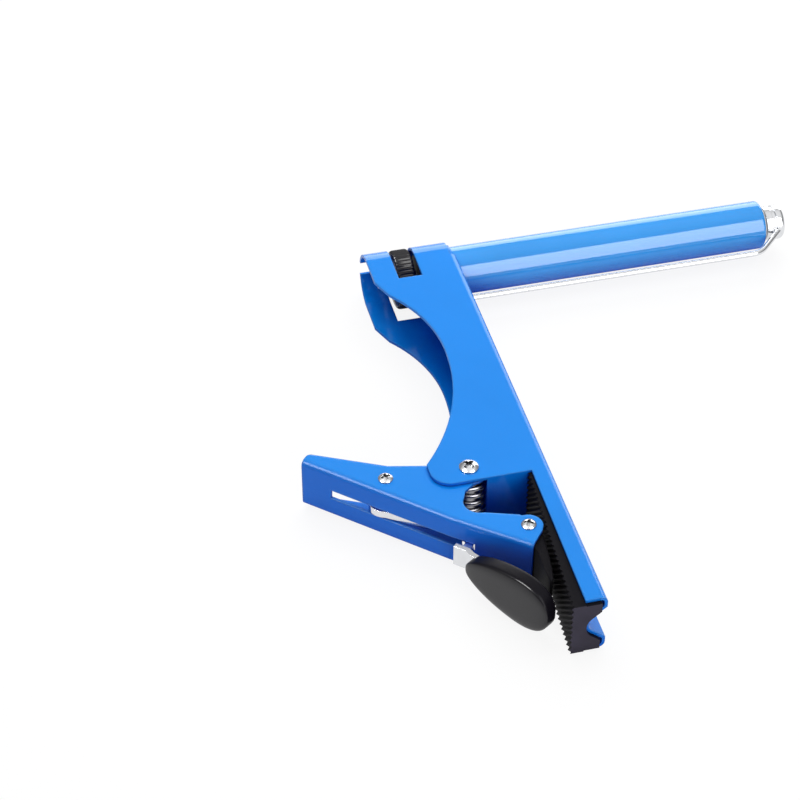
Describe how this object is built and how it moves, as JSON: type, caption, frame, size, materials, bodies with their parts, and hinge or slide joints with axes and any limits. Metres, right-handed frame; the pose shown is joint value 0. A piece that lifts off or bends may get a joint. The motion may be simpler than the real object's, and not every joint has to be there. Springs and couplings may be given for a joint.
{
  "type": "table tennis net clamp",
  "caption": "Sprung clip for a table edge with a sideways net post: folded sheet body, squeeze lever, rubber jaw pads, swing-out lock lever, and a thumbwheel that raises the cap and net rod.",
  "frame": {"origin": "bottom centre of the part's box as it lies on its far side plate", "axes": "+X along the post towards its cap, +Y from the jaw end to the crown, +Z from the far side plate to the near one"},
  "size_m": [0.2348, 0.2222, 0.0271],
  "materials": {
    "blue_paint": "gloss",
    "black_rubber": "matte",
    "black_plastic": "satin",
    "pale_plastic": "satin",
    "chrome": "polished",
    "steel": "oiled",
    "brass": "turned"
  },
  "bodies": {
    "frame": {"body_shell": "blue_paint", "fixed_jaw_pad": "black_rubber", "post_tube": "blue_paint", "post_socket": "blue_paint", "post_lower_guide": "black_plastic", "post_end_ring": "pale_plastic", "rod_bush": "black_plastic", "pivot_screw": "chrome", "pivot_bush": "steel", "pivot_nut": "steel", "torsion_spring": "steel"},
    "wheel": {"thumbwheel": "black_plastic", "wheel_insert": "brass"},
    "post_head": {"lift_screw": "steel", "top_cap": "chrome", "net_rod": "chrome"},
    "lever": {"clamp_lever": "blue_paint", "cross_screws": "chrome", "cross_sleeves": "steel", "cross_nuts": "chrome"},
    "jaw_shoe": {"moving_jaw_pad": "black_rubber"},
    "lock": {"lock_lever": "chrome", "lock_grip": "black_plastic"}
  },
  "joints": [
    {"name": "lever_pivot", "type": "hinge", "parent": "frame", "child": "lever", "pos_m": [-0.058, -0.03335, 0.0125], "axis": [0, 0, -1], "range_deg": [0, 38], "stiffness_Nm_per_rad": 1.2, "springref_deg": -28.65, "deforming": ["torsion_spring"]},
    {"name": "shoe_swivel", "type": "hinge", "parent": "lever", "child": "jaw_shoe", "pos_m": [-0.0446, -0.06665, 0.0125], "axis": [0, 0, 1], "range_deg": [-3, 3]},
    {"name": "lock_swing", "type": "hinge", "parent": "lever", "child": "lock", "pos_m": [-0.0891, -0.03035, 0.0125], "axis": [0, 0, -1], "range_deg": [0, 110]},
    {"name": "wheel_turn", "type": "hinge", "parent": "frame", "child": "wheel", "pos_m": [-0.0505, 0.09865, 0.0125], "axis": [1, 0, 0], "range_deg": [0, 1440]},
    {"name": "post_lift", "type": "slide", "parent": "frame", "child": "post_head", "axis": [1, 0, 0], "range_m": [0, 0.008]}
  ],
  "couplings": [
    {"joint": "wheel_turn", "follows": "post_lift", "rad_per_m": 3141.6}
  ]
}
